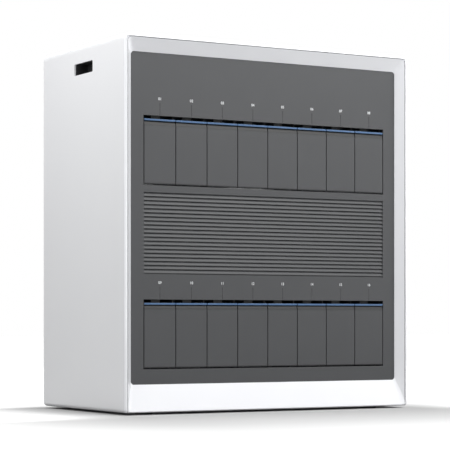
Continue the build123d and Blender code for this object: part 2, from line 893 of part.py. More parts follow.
def make_rotor(x):
    rotor_y = fan_front + motor_wall + rotor_gap
    middle_y = rotor_y + fan_hub_wall / 2
    with BuildPart() as rotor:
        with BuildSketch(facing(rotor_y)):
            with Locations((x, fan_z)):
                Circle(fan_hub)
        extrude(amount=-fan_hub_wall)
        for blade in range(fan_blades):
            outward = Vector(1, 0, 0).rotate(Axis.Y, blade * 360 / fan_blades)
            root = Vector(x, middle_y, fan_z) + outward * (fan_hub - fan_blade_root)
            with BuildSketch(Plane(origin=root, x_dir=(0, 1, 0), z_dir=outward)):
                Rectangle(fan_chord, fan_blade_wall, rotation=fan_blade_twist)
            extrude(amount=fan_tip - fan_hub + fan_blade_root)
        with BuildSketch(facing(rotor_y)):
            with Locations((x, fan_z)):
                Circle(shaft_radius + shaft_clearance)
        extrude(amount=-fan_hub_wall, mode=Mode.SUBTRACT)
    return rotor.part


fan_rotor_left = make_rotor(-fan_spread / 2)
fan_rotor_left.label = "fan_rotor_left"
export_step(fan_rotor_left, "parts/fan_rotor_left.step")
fan_rotor_right = make_rotor(fan_spread / 2)
fan_rotor_right.label = "fan_rotor_right"
export_step(fan_rotor_right, "parts/fan_rotor_right.step")

with BuildPart() as fan_guards:
    for x in fan_centres:
        with BuildSketch(facing(panel_y + panel_wall)):
            with Locations((x, fan_z)):
                for step in reversed(range(guard_ring_count)):
                    ring = guard_ring_first + step * guard_ring_pitch
                    Circle(ring + guard_wire / 2)
                    Circle(ring - guard_wire / 2, mode=Mode.SUBTRACT)
                for turn in guard_turns:
                    Rectangle(fan_hole_spread * 2**0.5, guard_wire, rotation=turn)
            with Locations((x, fan_z)):
                with GridLocations(fan_hole_spread, fan_hole_spread, 2, 2):
                    Circle(guard_ear)
        extrude(amount=-guard_wall)
fan_guards.part.label = "fan_guards"
export_step(fan_guards.part, "parts/fan_guards.step")

# Mains inlet: three blades in a plug recess, and a rocker switch on a pin over it
outer_face = panel_y + panel_wall
inlet_y = outer_face + inlet_face
plug_z = inlet_z - plug_drop
rocker_y = inlet_y - rocker_set
rocker_z = inlet_z + switch_rise
pocket_half = rocker_radius + switch_gap
with BuildPart() as mains_inlet:
    with BuildSketch(facing(outer_face)):
        with Locations((inlet_x, inlet_z)):
            RectangleRounded(inlet_width, inlet_height, inlet_corner)
    extrude(amount=-inlet_face)
    with BuildSketch(facing(outer_face)):
        with Locations((inlet_x, inlet_z)):
            Rectangle(inlet_body_width, inlet_body_height)
    extrude(amount=inlet_body_depth)
    with BuildSketch(facing(inlet_y)):
        with Locations((inlet_x, plug_z)):
            RectangleRounded(plug_width, plug_height, plug_corner)
    extrude(amount=plug_depth, mode=Mode.SUBTRACT)
    with BuildSketch(facing(inlet_y)):
        with Locations((inlet_x, rocker_z)):
            Rectangle(switch_width + 2 * switch_gap, 2 * pocket_half)
    extrude(amount=switch_depth, mode=Mode.SUBTRACT)
    with BuildSketch(facing(inlet_y - plug_depth)):
        with Locations(
            (inlet_x - blade_spread / 2, plug_z - blade_offset),
            (inlet_x + blade_spread / 2, plug_z - blade_offset),
            (inlet_x, plug_z + blade_offset),
        ):
            Rectangle(blade_width, blade_height)
    extrude(amount=-blade_reach)
    with BuildSketch(Plane.YZ.offset(inlet_x - inlet_body_width / 2)):
        with Locations((rocker_y, rocker_z)):
            Circle(rocker_pin)
    extrude(amount=inlet_body_width)
mains_inlet.part.label = "mains_inlet"
export_step(mains_inlet.part, "parts/mains_inlet.step")

rocker_plane = Plane(
    origin=(inlet_x - switch_width / 2, rocker_y, rocker_z),
    x_dir=Vector(0, 1, 0).rotate(Axis.X, -rocker_tilt),
    z_dir=(1, 0, 0),
)
with BuildPart() as power_switch:
    with BuildSketch(rocker_plane):
        Circle(rocker_radius)
        with Locations((rocker_face, 0)):
            for turn, end in ((-rocker_tilt, Align.MIN), (rocker_tilt, Align.MAX)):
                Rectangle(
                    rocker_radius,
                    2 * rocker_radius,
                    rotation=turn,
                    align=(Align.MIN, end),
                    mode=Mode.SUBTRACT,
                )
        with Locations((-rocker_heel, 0)):
            Rectangle(rocker_radius, 2 * rocker_radius, align=(Align.MAX, Align.CENTER), mode=Mode.SUBTRACT)
        Circle(rocker_pin + pin_clearance, mode=Mode.SUBTRACT)
    extrude(amount=switch_width)
power_switch.part.label = "power_switch"
export_step(power_switch.part, "parts/power_switch.step")

with BuildPart() as network_jack:
    with BuildSketch(facing(outer_face)):
        with Locations((jack_x, inlet_z)):
            Rectangle(jack_width + 2 * jack_rim, jack_height + 2 * jack_rim)
    extrude(amount=-jack_face)
    with BuildSketch(facing(outer_face)):
        with Locations((jack_x, inlet_z)):
            Rectangle(jack_width, jack_height)
    extrude(amount=jack_depth)
    with BuildSketch(facing(outer_face + jack_face)):
        with Locations((jack_x, inlet_z)):
            Rectangle(jack_mouth_width, jack_mouth_height)
    extrude(amount=jack_mouth_depth, mode=Mode.SUBTRACT)
network_jack.part.label = "network_jack"
export_step(network_jack.part, "parts/network_jack.step")

# Power supply on the base pan, and the controller board on standoffs over the lower row
with BuildPart() as power_supply:
    with BuildSketch(Plane.XY.offset(base_top)):
        with Locations((supply_x, supply_y)):
            Rectangle(supply_width, supply_depth)
    extrude(amount=supply_height)
    chamfer(power_supply.edges().filter_by(Axis.Z), supply_edge)
power_supply.part.label = "power_supply"
export_step(power_supply.part, "parts/power_supply.step")

standoff_z = lower_row_top + roof_rise + roof_wall
with BuildPart() as controller_board:
    with BuildSketch(Plane.XY.offset(standoff_z)):
        with Locations((0, board_y)):
            with GridLocations(board_width - 2 * standoff_inset, board_depth - 2 * standoff_inset, 2, 2):
                RegularPolygon(standoff_radius, 6)
    extrude(amount=standoff_height)
    with BuildSketch(Plane.XY.offset(standoff_z + standoff_height)):
        with Locations((0, board_y)):
            Rectangle(board_width, board_depth)
    extrude(amount=board_wall)
    with BuildSketch(Plane.XY.offset(standoff_z + standoff_height + board_wall)):
        with Locations((0, board_y)):
            with GridLocations(board_width / (chip_count + 1), 1, chip_count, 1):
                Rectangle(chip_size, chip_size)
    extrude(amount=chip_height)
controller_board.part.label = "controller_board"
export_step(controller_board.part, "parts/controller_board.step")
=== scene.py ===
import json
import math
import bmesh
import bpy
from mathutils import Matrix, Vector


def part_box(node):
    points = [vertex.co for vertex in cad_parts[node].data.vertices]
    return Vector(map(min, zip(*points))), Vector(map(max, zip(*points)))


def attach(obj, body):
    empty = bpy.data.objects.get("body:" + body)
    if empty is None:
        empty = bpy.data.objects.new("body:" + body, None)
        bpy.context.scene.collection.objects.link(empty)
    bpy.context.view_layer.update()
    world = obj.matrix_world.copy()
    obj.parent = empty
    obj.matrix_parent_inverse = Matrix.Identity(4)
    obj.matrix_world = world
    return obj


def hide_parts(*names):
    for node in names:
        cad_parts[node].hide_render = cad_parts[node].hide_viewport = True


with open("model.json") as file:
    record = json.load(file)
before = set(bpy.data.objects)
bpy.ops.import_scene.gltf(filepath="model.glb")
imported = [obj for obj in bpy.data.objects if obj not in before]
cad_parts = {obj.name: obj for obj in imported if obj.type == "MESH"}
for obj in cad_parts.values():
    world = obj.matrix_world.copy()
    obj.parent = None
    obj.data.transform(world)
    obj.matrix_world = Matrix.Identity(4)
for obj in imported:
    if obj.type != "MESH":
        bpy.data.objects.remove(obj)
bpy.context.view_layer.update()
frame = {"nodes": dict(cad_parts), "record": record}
print("frame loaded, nodes:", len(frame["nodes"]))


# One node output, in a shader or a geometry tree: its sums add Math nodes
class Field:
    def __init__(self, tree, socket):
        self.tree = tree
        self.socket = socket

    def node(self, kind, settings=None, values=None, output=0):
        made = self.tree.nodes.new(kind if kind.startswith(("Geometry", "Function")) else "ShaderNode" + kind)
        for key, value in (settings or {}).items():
            if key == "stops":
                self.fillRamp(made.color_ramp, value)
            else:
                setattr(made, key, value)
        for key, value in (values or {}).items():
            if isinstance(value, (Field, list)):
                for part in value if isinstance(value, list) else [value]:
                    self.tree.links.new(part.socket, made.inputs[key])
            else:
                made.inputs[key].default_value = value
        return Field(self.tree, made.outputs[output])

    def fillRamp(self, ramp, stops):
        for index, (place, tone) in enumerate(stops):
            if index == 0:
                element = ramp.elements[0]
            elif index == len(stops) - 1:
                element = ramp.elements[-1]
            else:
                element = ramp.elements.new(place)
            element.position = place
            element.color = (*tone, 1) if hasattr(tone, "__len__") else (tone, tone, tone, 1)

    def calc(self, operation, first, second=0.0):
        return self.node("Math", {"operation": operation}, {0: first, 1: second})

    def __add__(self, other):
        return self.calc("ADD", self, other)

    def __sub__(self, other):
        return self.calc("SUBTRACT", self, other)

    def __rsub__(self, other):
        return self.calc("SUBTRACT", other, self)

    def __mul__(self, other):
        return self.calc("MULTIPLY", self, other)

    def __rmul__(self, other):
        return self.calc("MULTIPLY", other, self)

    def __gt__(self, other):
        return self.calc("GREATER_THAN", self, other)

    def __lt__(self, other):
        return self.calc("LESS_THAN", self, other)

    def __truediv__(self, other):
        return self.calc("DIVIDE", self, other)

    def size(self):
        return self.calc("ABSOLUTE", self)

    def near(self, place, reach):
        # 1 within reach of place
        return (self - place).size() < reach

    def soft(self, low, high):
        # 0 below low, 1 above high, smooth between
        values = {0: self, 1: low, 2: high, 3: 0.0, 4: 1.0}
        return self.node("MapRange", {"interpolation_type": "SMOOTHSTEP"}, values)

    def between(self, low, high):
        return self.node("MapRange", {}, {0: self, 1: 0.0, 2: 1.0, 3: low, 4: high})

    def tint(self, dark, light):
        # a colour between two, by this value
        return self.over(dark, light)

    def over(self, base, top):
        # top laid over base where this value is 1
        colours = [tone if isinstance(tone, Field) else (*tone, 1) for tone in (base, top)]
        return self.node("Mix", {"data_type": "RGBA"}, {0: self, 6: colours[0], 7: colours[1]}, 2)

    def noise(self, scale, detail=2.0, rough=0.5):
        values = {"Vector": self, "Scale": scale, "Detail": detail, "Roughness": rough}
        return self.node("TexNoise", {}, values)

    def cells(self, scale):
        return self.node("TexVoronoi", {}, {"Vector": self, "Scale": scale})

    def stretched(self, factors):
        return self.node("Mapping", {}, {"Vector": self, "Scale": factors})

    def axis(self, index):
        return self.node("SeparateXYZ", {}, {0: self}, index)

    def bump(self, depth, strength):
        return self.node("Bump", {}, {"Height": self, "Distance": depth, "Strength": strength})


def makeMaterial(name, fixed, recipe):
    # fixed: plain values on the shader's own sockets; recipe(place): what varies over the surface
    material = bpy.data.materials.new(name)
    material.use_nodes = True
    tree = material.node_tree
    shader = tree.nodes["Principled BSDF"]
    for key, value in fixed.items():
        shader.inputs[key].default_value = value
    place = Field(tree, tree.nodes.new("ShaderNodeTexCoord").outputs["Object"])
    for key, value in recipe(place).items():
        tree.links.new(value.socket, shader.inputs[key])
    return material


def sheen(tone):
    # screen tone 0-255 as a linear value
    share = tone / 255
    return share / 12.92 if share <= 0.04045 else ((share + 0.055) / 1.055) ** 2.4


def shade(red, green, blue):
    return (sheen(red), sheen(green), sheen(blue))


# Finishes
def whitePaint(place):
    cloud = place.noise(6.0, 3.0)
    peel = place.noise(900.0, 2.0, 0.6)
    return {
        "Base Color": cloud.tint(shade(236, 237, 240), shade(240, 241, 243)),
        "Roughness": place.noise(40.0, 4.0).between(0.30, 0.38),
        "Normal": peel.bump(0.00002, 0.25),
    }


def whiteMoulding(place):
    cloud = place.noise(9.0, 2.0)
    return {
        "Base Color": cloud.tint(shade(238, 239, 243), shade(243, 244, 247)),
        "Roughness": place.noise(60.0, 3.0).between(0.22, 0.28),
        "Normal": place.noise(500.0, 2.0).bump(0.00002, 0.12),
    }


def bezelMoulding(place):
    # the white moulding, with painted shade in the fine groove between the rim and the slopes
    low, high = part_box("front_bezel")
    groove = {"inner": 0.0066, "outer": 0.0053, "depth": 0.0032}
    look = whiteMoulding(place)
    across, height = high[0] - place.axis(0).size(), high[2] - place.axis(2)
    sides = (across < groove["inner"]) * (across > groove["outer"]) * (height > groove["outer"])
    top = (height < groove["inner"]) * (height > groove["outer"]) * (across > groove["outer"])
    paintedGrooveShade = sides.calc("MAXIMUM", sides, top) * (place.axis(1) < low[1] + groove["depth"])
    # painted shade: the groove band is coloured a mid grey
    look["Base Color"] = paintedGrooveShade.over(look["Base Color"], shade(164, 165, 169))
    return look


def darkMoulding(place):
    # spark-eroded grain: fine pits on a slightly mottled grey
    grain = place.noise(2600.0, 3.0, 0.65)
    cloud = place.noise(14.0, 3.0)
    speck = grain.soft(0.56, 0.72)
    base = cloud.tint(shade(62, 63, 65), shade(67, 68, 70))
    return {
        "Base Color": (speck * 0.35).over(base, shade(82, 83, 85)),
        "Roughness": grain.between(0.44, 0.56),
        "Normal": grain.bump(0.00004, 0.35),
    }


def doorMoulding(place):
    # the fascia's moulding, with painted shade in the finger scoop under each pull strip
    scoop = {"reach": 0.011, "full": 0.0045, "edge": 0.0002}
    look = darkMoulding(place)
    for name in ("pull_strip_01", "pull_strip_09"):
        below = place.axis(2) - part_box(name)[0][2]
        paintedScoopShade = below.soft(-scoop["reach"], -scoop["full"]) * (below < scoop["edge"])
        # painted shade: near black just under each pull strip, fading down the scoop
        look["Base Color"] = paintedScoopShade.over(look["Base Color"], shade(2, 2, 3))
    return look


def blueMoulding(place):
    return {
        "Base Color": place.noise(30.0, 2.0).tint(shade(60, 94, 134), shade(70, 105, 147)),
        "Roughness": place.noise(400.0, 2.0).between(0.26, 0.34),
        "Normal": place.noise(900.0, 2.0).bump(0.00002, 0.15),
    }


def lightWindow(place):
    return {
        "Base Color": place.noise(80.0, 2.0).tint(shade(34, 35, 37), shade(44, 45, 47)),
        "Roughness": place.noise(600.0, 1.0).between(0.12, 0.18),
        "Normal": place.noise(700.0, 1.0).bump(0.00001, 0.1),
    }


def openFoam(place):
    pores = place.cells(420.0)
    return {
        "Base Color": pores.soft(0.25, 0.6).tint(shade(14, 14, 15), shade(52, 52, 54)),
        "Roughness": pores.between(0.85, 1.0),
        "Normal": pores.bump(0.0012, 0.9),
    }


def blackMoulding(place):
    grain = place.noise(2200.0, 3.0, 0.6)
    return {
        "Base Color": place.noise(20.0, 2.0).tint(shade(38, 39, 41), shade(46, 47, 49)),
        "Roughness": grain.between(0.40, 0.55),
        "Normal": grain.bump(0.00004, 0.3),
    }


def inletMoulding(place):
    # black moulding, with the three contact blades in the plug recess as bright metal
    sizes = {
        "middle": 0.215,
        "spread": 0.007,
        "outerHeight": 0.048,
        "innerHeight": 0.052,
        "root": 0.14945,
        "halfWidth": 0.00115,
        "halfHeight": 0.0021,
        "smoother": 0.26,
    }
    across, depth, height = (place.axis(index) for index in range(3))
    aside = (across - sizes["middle"]).size()
    outerHeight = height.near(sizes["outerHeight"], sizes["halfHeight"])
    innerHeight = height.near(sizes["innerHeight"], sizes["halfHeight"])
    outer = aside.near(sizes["spread"], sizes["halfWidth"]) * outerHeight
    inner = (aside < sizes["halfWidth"]) * innerHeight
    blade = (outer + inner) * (depth > sizes["root"])
    plastic = blackMoulding(place)
    return {
        "Base Color": blade.over(plastic["Base Color"], shade(206, 203, 194)),
        "Roughness": plastic["Roughness"] - blade * sizes["smoother"],
        "Metallic": blade,
        "Normal": plastic["Normal"],
    }


def goldContact(place):
    return {
        "Base Color": place.noise(900.0, 2.0).tint(shade(206, 168, 92), shade(224, 188, 112)),
        "Roughness": place.noise(1400.0, 2.0).between(0.2, 0.34),
        "Normal": place.noise(2400.0, 2.0).bump(0.00001, 0.2),
    }


def footRubber(place):
    dust = place.noise(900.0, 4.0, 0.7)
    return {
        "Base Color": dust.soft(0.5, 0.8).tint(shade(30, 30, 31), shade(56, 56, 57)),
        "Roughness": dust.between(0.7, 0.92),
        "Normal": dust.bump(0.0001, 0.5),
    }


def rearPaint(place):
    # fine structured powder coat
    grit = place.noise(1500.0, 2.0, 0.6)
    return {
        "Base Color": place.noise(8.0, 2.0).tint(shade(216, 217, 219), shade(222, 223, 225)),
        "Roughness": grit.between(0.5, 0.66),
        "Normal": grit.bump(0.00012, 0.45),
    }


def platedSteel(place):
    spangle = place.cells(160.0)
    drawn = place.stretched((4.0, 4.0, 1.0)).noise(300.0, 2.0)
    return {
        "Base Color": spangle.tint(shade(168, 170, 172), shade(196, 198, 199)),
        "Roughness": (spangle * 0.2 + drawn * 0.2).between(0.28, 0.5),
        "Normal": drawn.bump(0.00003, 0.3),
    }


def brightWire(place):
    return {
        "Base Color": place.noise(50.0, 2.0).tint(shade(190, 191, 192), shade(206, 207, 208)),
        "Roughness": place.noise(300.0, 3.0).between(0.14, 0.28),
        "Normal": place.noise(900.0, 2.0).bump(0.00002, 0.2),
    }


def bayMoulding(place):
    grain = place.noise(1600.0, 3.0, 0.6)
    return {
        "Base Color": place.noise(16.0, 2.0).tint(shade(17, 18, 19), shade(23, 24, 25)),
        "Roughness": grain.between(0.5, 0.64),
        "Normal": grain.bump(0.00006, 0.3),
    }


def bedMoulding(place):
    grain = place.noise(1300.0, 3.0, 0.6)
    return {
        "Base Color": place.noise(16.0, 2.0).tint(shade(176, 177, 180), shade(188, 189, 192)),
        "Roughness": grain.between(0.42, 0.56),
        "Normal": grain.bump(0.00005, 0.3),
    }


def anodised(place):
    drawn = place.stretched((1.0, 1.0, 18.0)).noise(260.0, 3.0)
    return {
        "Base Color": drawn.tint(shade(148, 151, 156), shade(170, 173, 178)),
        "Roughness": drawn.between(0.3, 0.46),
        "Normal": drawn.bump(0.00003, 0.4),
    }


def solderMask(place):
    weave = place.cells(700.0)
    return {
        "Base Color": place.noise(60.0, 3.0).tint(shade(18, 74, 46), shade(26, 96, 58)),
        "Roughness": weave.between(0.25, 0.4),
        "Normal": weave.bump(0.00002, 0.3),
    }


def printInk(place):
    return {
        "Base Color": place.noise(2500.0, 2.0).tint(shade(214, 216, 218), shade(236, 237, 238)),
        "Roughness": place.noise(900.0, 2.0).between(0.45, 0.6),
        "Normal": place.noise(3000.0, 2.0).bump(0.00001, 0.2),
    }


# slot: the material's name, its recipe, and plain values on the shader
finishRules = {
    "white_shell": ("paintedWhiteShell", whitePaint, {"Coat Weight": 0.35, "Coat Roughness": 0.12}),
    "white_bezel": ("whiteMoulding", bezelMoulding, {"Coat Weight": 0.3, "Coat Roughness": 0.1}),
    "dark_fascia": ("darkGreyMoulding", darkMoulding, {"Specular IOR Level": 0.4}),
    "dark_door": ("darkGreyDoor", doorMoulding, {"Specular IOR Level": 0.4}),
    "blue_strip": ("bluePullStrip", blueMoulding, {"Coat Weight": 0.3, "Coat Roughness": 0.1}),
    "status_light": ("darkLightWindow", lightWindow, {"Coat Weight": 0.5, "Coat Roughness": 0.05}),
    "filter_foam": ("openFilterFoam", openFoam, {}),
    "black_plastic": ("blackMoulding", blackMoulding, {}),
    "foot_rubber": ("footRubber", footRubber, {}),
    "rear_paint": ("rearPowderCoat", rearPaint, {}),
    "plated_steel": ("platedSteel", platedSteel, {"Metallic": 1.0}),
    "bright_wire": ("brightWire", brightWire, {"Metallic": 1.0}),
    "jack_metal": ("jackShield", platedSteel, {"Metallic": 1.0}),
    "bay_plastic": ("bayMoulding", bayMoulding, {}),
    "steel_pin": ("groundPin", brightWire, {"Metallic": 1.0}),
    "bed_plastic": ("bedMoulding", bedMoulding, {}),
    "block_aluminium": ("anodisedBlock", anodised, {"Metallic": 1.0}),
    "circuit_board": ("circuitBoard", solderMask, {"Coat Weight": 0.4, "Coat Roughness": 0.2}),
    "fan_plastic": ("fanMoulding", blackMoulding, {}),
    "switch_plastic": ("switchMoulding", blackMoulding, {"Coat Weight": 0.3, "Coat Roughness": 0.15}),
}
finishes = {}
for slotName, (materialName, recipe, fixed) in finishRules.items():
    finishes[slotName] = makeMaterial(materialName, fixed, recipe)
inkMaterial = makeMaterial("whitePrintInk", {}, printInk)
inletMaterial = makeMaterial("inletMoulding", {}, inletMoulding)
goldMaterial = makeMaterial("goldContact", {"Metallic": 1.0}, goldContact)

for part in frame["record"]["subparts"]:
    node = frame["nodes"][part["node"]]
    for materialSlot in node.material_slots:
        materialSlot.material = finishes[part["material_slot"]]
for materialSlot in frame["nodes"]["mains_inlet"].material_slots:
    materialSlot.material = inletMaterial


def addMesh(name, mesh, body, material, smoothUnder=None):
    mesh.materials.clear()
    mesh.materials.append(material)
    if smoothUnder:
        mesh.polygons.foreach_set("use_smooth", [True] * len(mesh.polygons))
        mesh.set_sharp_from_angle(angle=math.radians(smoothUnder))
    piece = bpy.data.objects.new(name, mesh)
    bpy.context.scene.collection.objects.link(piece)
    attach(piece, body)
    return piece


def joinMeshes(name, placed):
    joined = bmesh.new()
    for mesh, matrix in placed:
        copied = mesh.copy()
        copied.transform(matrix)
        joined.from_mesh(copied)
    mesh = bpy.data.meshes.new(name)
    joined.to_mesh(mesh)
    joined.free()
    return mesh


def plainMesh(holder):
    # what the object's modifiers or curve make, as a mesh of its own
    mesh = bpy.data.meshes.new_from_object(holder.evaluated_get(bpy.context.evaluated_depsgraph_get()))
    bpy.data.objects.remove(holder)
    return mesh


socketKinds = ((bpy.types.Object, "Object"), (int, "Int"), (tuple, "Vector"), (float, "Float"))


def grownMesh(name, sizes, rule, material):
    # a Geometry Nodes tree with its sizes as named inputs, run once
    tree = bpy.data.node_groups.new(name, "GeometryNodeTree")
    tree.interface.new_socket("Geometry", in_out="OUTPUT", socket_type="NodeSocketGeometry")
    keys = {}
    for label, value in sizes.items():
        kinds = [name for kind, name in socketKinds if isinstance(value, kind)]
        socket = tree.interface.new_socket(label, in_out="INPUT", socket_type="NodeSocket" + kinds[0])
        keys[label] = socket.identifier
    entry = tree.nodes.new("NodeGroupInput")
    shape = rule(Field(tree, None), {label: Field(tree, entry.outputs[label]) for label in sizes})
    real = shape.node("GeometryNodeRealizeInstances", {}, {"Geometry": shape})
    dressed = real.node("GeometryNodeSetMaterial", {}, {"Geometry": real, "Material": material})
    tree.links.new(dressed.socket, tree.nodes.new("NodeGroupOutput").inputs[0])
    holder = bpy.data.objects.new(name, bpy.data.meshes.new(name))
    bpy.context.scene.collection.objects.link(holder)
    modifier = holder.modifiers.new(name, "NODES")
    modifier.node_group = tree
    for label, value in sizes.items():
        modifier[keys[label]] = value
    return plainMesh(holder)


def shellMesh(name, shell):
    # a closed bmesh as a mesh with its faces outward
    bmesh.ops.recalc_face_normals(shell, faces=shell.faces)
    mesh = bpy.data.meshes.new(name)
    shell.to_mesh(mesh)
    shell.free()
    return mesh


def turnedMesh(name, profile, segments):
    # a closed outline of (radius, height) points turned round Z
    shell = bmesh.new()
    rings = []
    for radius, height in profile:
        angles = [math.tau * step / segments for step in range(segments)]
        rings.append([shell.verts.new((radius * math.cos(a), radius * math.sin(a), height)) for a in angles])
    for ring, following in zip(rings, rings[1:] + rings[:1]):
        for step in range(segments):
            after = (step + 1) % segments
            shell.faces.new((ring[step], ring[after], following[after], following[step]))
    return shellMesh(name, shell)


millimetre = 0.001
quarterTurn = math.pi / 2
upright = Matrix.Rotation(math.radians(90), 4, "X")   # flat work stood up, facing the front
facingBack = Matrix.Rotation(math.radians(-90), 4, "X")   # heights turned to point to the back


# Bay numbers printed on the fascia over the status lights
numberSizes = {
    "letterHeight": 0.0066,
    "inkWall": 0.00004,
    "bold": 0.00012,
    "pitch": 0.0633,
    "count": 8,
    "rowStrips": ("pull_strip_01", "pull_strip_09"),
    "rise": 0.0353,
}


def textMesh(words, sizes):
    curve = bpy.data.curves.new("words", "FONT")
    curve.body = words
    curve.align_x = "CENTER"
    curve.align_y = "CENTER"
    curve.size = sizes["letterHeight"]
    curve.extrude = sizes["inkWall"] / 2
    curve.offset = sizes["bold"]
    curve.resolution_u = 4
    holder = bpy.data.objects.new("words", curve)
    bpy.context.scene.collection.objects.link(holder)
    return plainMesh(holder)


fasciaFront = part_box("fascia")[0][1]
placed = []
for row, stripName in enumerate(numberSizes["rowStrips"]):
    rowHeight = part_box(stripName)[1][2] + numberSizes["rise"]
    for column in range(numberSizes["count"]):
        bayNumber = row * numberSizes["count"] + column + 1
        x = (column - (numberSizes["count"] - 1) / 2) * numberSizes["pitch"]
        where = Matrix.Translation((x, fasciaFront - numberSizes["inkWall"] / 2, rowHeight)) @ upright
        placed.append((textMesh("%02d" % bayNumber, numberSizes), where))
bayNumbers = addMesh("bayNumbers", joinMeshes("bayNumbers", placed), "cabinet", inkMaterial)
print("bay numbers printed")


# Air intake: rounded slats over five posts, in a flange behind the fascia
louvreSizes = {
    "slats": 20,
    "pitch": 0.00707,
    "topFoot": -0.01127,
    "slatLength": 0.5061,
    "slatWall": 0.0018,
    "slatLean": 0.0034,
    "slatHeight": 0.00687,
    "edgeRadius": 0.00035,
    "edgePoints": 3,
    "posts": 5,
    "postWidth": 0.003,
    "postWall": 0.0028,
    "postHeight": 0.1427,
    "flangeWidth": 0.5164,
    "flangeHeight": 0.1514,
    "windowWidth": 0.5001,
    "windowHeight": 0.1354,
    "flangeWall": 0.002,
    "flangeSet": 0.004,
}
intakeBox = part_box("intake_louvre")
intakeMiddle = (intakeBox[0][2] + intakeBox[1][2]) / 2


def slatRule(start, size):
    # one slat's outline swept along X, set down its pitch; a line along X turns the outline half round
    def corner(depth, height):
        return start.node("CombineXYZ", {}, {"X": depth * -1.0, "Y": height * -1.0})

    corners = [
        corner(0.0, 0.0),
        corner(size["wall"], 0.0),
        corner(size["wall"] + size["lean"], size["height"]),
        corner(size["lean"], size["height"]),
    ]
    points = {"Point %d" % (index + 1): point for index, point in enumerate(corners)}
    outline = start.node("GeometryNodeCurvePrimitiveQuadrilateral", {"mode": "POINTS"}, points)
    rounding = {"Curve": outline, "Count": size["edgePoints"], "Radius": size["edge"]}
    rounded = start.node("GeometryNodeFilletCurve", {"mode": "POLY"}, rounding)
    half = start.node("CombineXYZ", {}, {"X": size["length"] * 0.5})
    otherHalf = start.node("CombineXYZ", {}, {"X": size["length"] * -0.5})
    run = start.node("GeometryNodeCurvePrimitiveLine", {}, {"Start": otherHalf, "End": half})
    sweep = {"Curve": run, "Profile Curve": rounded, "Fill Caps": True}
    slat = start.node("GeometryNodeCurveToMesh", {}, sweep)
    step = start.node("CombineXYZ", {}, {"Z": size["pitch"] * -1.0})
    row = {"Count": size["slats"], "Start Location": size["place"], "Offset": step}
    seats = start.node("GeometryNodeMeshLine", {"mode": "OFFSET"}, row)
    return start.node("GeometryNodeInstanceOnPoints", {}, {"Points": seats, "Instance": slat})


def postRule(start, size):
    block = start.node("CombineXYZ", {}, {"X": size["width"], "Y": size["wall"], "Z": size["height"]})
    post = start.node("GeometryNodeMeshCube", {}, {"Size": block})
    step = start.node("CombineXYZ", {}, {"X": size["pitch"]})
    row = {"Count": size["posts"], "Start Location": size["place"], "Offset": step}
    seats = start.node("GeometryNodeMeshLine", {"mode": "OFFSET"}, row)
    return start.node("GeometryNodeInstanceOnPoints", {}, {"Points": seats, "Instance": post})


def frameMesh(name, outside, window, front, wall, middle):
    # a flat rectangular frame standing across the cabinet
    loops = []
    for depth in (front, front + wall):
        for width, height in (outside, window):
            corners = [(-0.5, -0.5), (0.5, -0.5), (0.5, 0.5), (-0.5, 0.5)]
            loops.append([(a * width, depth, middle + b * height) for a, b in corners])
    shell = bmesh.new()
    rings = [[shell.verts.new(point) for point in loop] for loop in loops]
    for first, second in ((0, 1), (1, 3), (3, 2), (2, 0)):
        for side in range(4):
            after = (side + 1) % 4
            near, far = rings[first], rings[second]
            shell.faces.new((near[side], near[after], far[after], far[side]))
    return shellMesh(name, shell)


slats = grownMesh("intakeSlats", {
    "slats": louvreSizes["slats"],
    "pitch": louvreSizes["pitch"],
    "length": louvreSizes["slatLength"],
    "wall": louvreSizes["slatWall"],
    "lean": louvreSizes["slatLean"],
    "height": louvreSizes["slatHeight"],
    "edge": louvreSizes["edgeRadius"],
    "edgePoints": louvreSizes["edgePoints"],
    "place": (0.0, fasciaFront, intakeBox[1][2] + louvreSizes["topFoot"]),
}, slatRule, finishes["dark_fascia"])
postPitch = (louvreSizes["slatLength"] - louvreSizes["postWidth"]) / (louvreSizes["posts"] - 1)
postFront = fasciaFront + louvreSizes["slatLean"]
posts = grownMesh("intakePosts", {
    "posts": louvreSizes["posts"],
    "pitch": postPitch,
    "width": louvreSizes["postWidth"],
    "wall": louvreSizes["postWall"],
    "height": louvreSizes["postHeight"],
    "place": (
        -postPitch * (louvreSizes["posts"] - 1) / 2,
        postFront + louvreSizes["postWall"] / 2,
        intakeMiddle,
    ),
}, postRule, finishes["dark_fascia"])
flange = frameMesh(
    "intakeFlange",
    (louvreSizes["flangeWidth"], louvreSizes["flangeHeight"]),
    (louvreSizes["windowWidth"], louvreSizes["windowHeight"]),
    fasciaFront + louvreSizes["flangeSet"],
    louvreSizes["flangeWall"],
    intakeMiddle,
)
intakeMesh = joinMeshes("airIntake", [(mesh, Matrix()) for mesh in (slats, posts, flange)])
airIntake = addMesh("airIntake", intakeMesh, "cabinet", finishes["dark_fascia"], smoothUnder=35)
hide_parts("intake_louvre")
print("air intake built")


# Screws with a cross recess, for the rear panels and the fan guards
screwSizes = {
    "headProfile": ((3.0, 0.0), (3.0, 0.35), (2.86, 0.74), (2.46, 1.06), (1.95, 1.24)),
    "shankProfile": ((0.3, -8.0), (0.9, -7.9), (1.5, -7.2), (1.5, 0.0)),
    "crossReach": (1.55, 1.5, 1.55, 0.8, 0.566, 0.8),
    "crossTop": 1.3,
    "crossFloor": 0.55,
    "crossPoint": 0.4,
    "crossTaper": 0.72,
    "segments": 24,
    "lowCount": 2,
    "lowStep": 0.0745,
    "highCount": 4,
    "overSeam": 0.116,
    "seed": 4,
}


